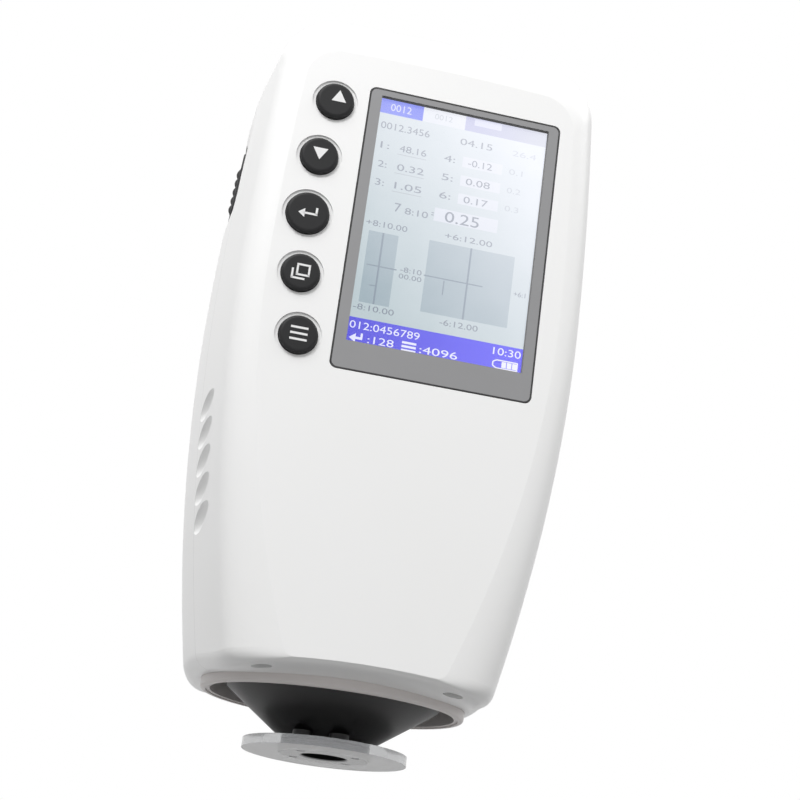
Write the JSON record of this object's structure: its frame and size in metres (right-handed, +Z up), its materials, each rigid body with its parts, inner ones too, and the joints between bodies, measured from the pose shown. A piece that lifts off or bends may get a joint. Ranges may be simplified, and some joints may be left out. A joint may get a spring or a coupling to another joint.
{
  "type": "portable colorimeter",
  "caption": "Hand-held colorimeter that stands on a clear disc under its round measuring nose, with a tall display, a column of round keys and a side test button.",
  "frame": {"origin": "centre of the measuring aperture, in the plane that the foot disc rests on", "axes": "+Z up along the aperture axis, +X to the right of someone facing the display, +Y to the back"},
  "size_m": [0.1071, 0.0972, 0.203],
  "materials": {
    "housing_white": "satin white moulded ABS",
    "skirt_grey": "pale grey moulded plastic",
    "nose_black": "matt black moulded plastic",
    "clear_disc": "clear acrylic with a polished rim",
    "hub_metal": "turned aluminium",
    "screw_steel": "plated steel",
    "screw_black": "blackened steel",
    "window_glass": "clear window with a printed grey border",
    "gasket_foam": "black foam",
    "display_panel": "colour display, lit",
    "frame_metal": "pressed aluminium",
    "board_green": "green solder mask",
    "dome_steel": "snap domes",
    "switch_black": "black moulded plastic",
    "button_black": "matt black moulded plastic",
    "key_black": "charcoal black moulded plastic",
    "socket_metal": "plated steel",
    "battery_grey": "grey wrapped pack",
    "contact_brass": "plated spring brass",
    "sphere_metal": "turned aluminium, white inside",
    "lens_glass": "polished glass",
    "lamp_metal": "dark anodised aluminium"
  },
  "bodies": {
    "housing": {"aperture_hub": "hub_metal", "base_ring": "skirt_grey", "battery_contacts": "contact_brass", "battery_pack": "battery_grey", "button_bezel": "button_black", "display_window": "window_glass", "foot_screws": "screw_black", "front_shell": "housing_white", "housing_screws": "screw_black", "hub_screws": "screw_steel", "key_board": "board_green", "key_domes": "dome_steel", "lamp_module": "lamp_metal", "lcd_frame": "frame_metal", "lcd_panel": "display_panel", "locating_disc": "clear_disc", "main_board": "board_green", "nose_cone": "nose_black", "optics_carrier": "frame_metal", "power_switch": "switch_black", "rear_shell": "housing_white", "sensor_board": "board_green", "sphere_lower": "sphere_metal", "sphere_screws": "screw_steel", "sphere_upper": "sphere_metal", "switch_board": "board_green", "test_switch": "switch_black", "usb_socket": "socket_metal", "viewing_lens": "lens_glass", "viewing_tube": "nose_black", "window_gasket": "gasket_foam"},
    "key_up_body": {"key_up": "key_black"},
    "key_down_body": {"key_down": "key_black"},
    "key_enter_body": {"key_enter": "key_black"},
    "key_back_body": {"key_back": "key_black"},
    "key_menu_body": {"key_menu": "key_black"},
    "test_button_body": {"test_button": "button_black"},
    "power_slider_body": {"power_slider": "switch_black"},
    "battery_cover_body": {"battery_cover": "housing_white"}
  },
  "joints": [
    {"name": "key_up_press", "type": "slide", "parent": "housing", "child": "key_up_body", "axis": [0, 0.998, 0.0628], "range_m": [0, 0.0008], "stiffness_N_per_m": 900, "springref_m": -0.0003},
    {"name": "key_down_press", "type": "slide", "parent": "housing", "child": "key_down_body", "axis": [0, 0.998, 0.0628], "range_m": [0, 0.0008], "stiffness_N_per_m": 900, "springref_m": -0.0003},
    {"name": "key_enter_press", "type": "slide", "parent": "housing", "child": "key_enter_body", "axis": [0, 0.998, 0.0628], "range_m": [0, 0.0008], "stiffness_N_per_m": 900, "springref_m": -0.0003},
    {"name": "key_back_press", "type": "slide", "parent": "housing", "child": "key_back_body", "axis": [0, 0.998, 0.0628], "range_m": [0, 0.0008], "stiffness_N_per_m": 900, "springref_m": -0.0003},
    {"name": "key_menu_press", "type": "slide", "parent": "housing", "child": "key_menu_body", "axis": [0, 0.998, 0.0628], "range_m": [0, 0.0008], "stiffness_N_per_m": 900, "springref_m": -0.0003},
    {"name": "test_button_press", "type": "slide", "parent": "housing", "child": "test_button_body", "axis": [0.9985, 0, -0.0541], "range_m": [0, 0.0012], "stiffness_N_per_m": 1200, "springref_m": -0.0004},
    {"name": "power_slide", "type": "slide", "parent": "housing", "child": "power_slider_body", "axis": [0, 0, 1], "range_m": [0, 0.003]},
    {"name": "battery_cover_lift", "type": "slide", "parent": "housing", "child": "battery_cover_body", "axis": [0, 0.998, 0.0628], "range_m": [0, 0.02]}
  ]
}
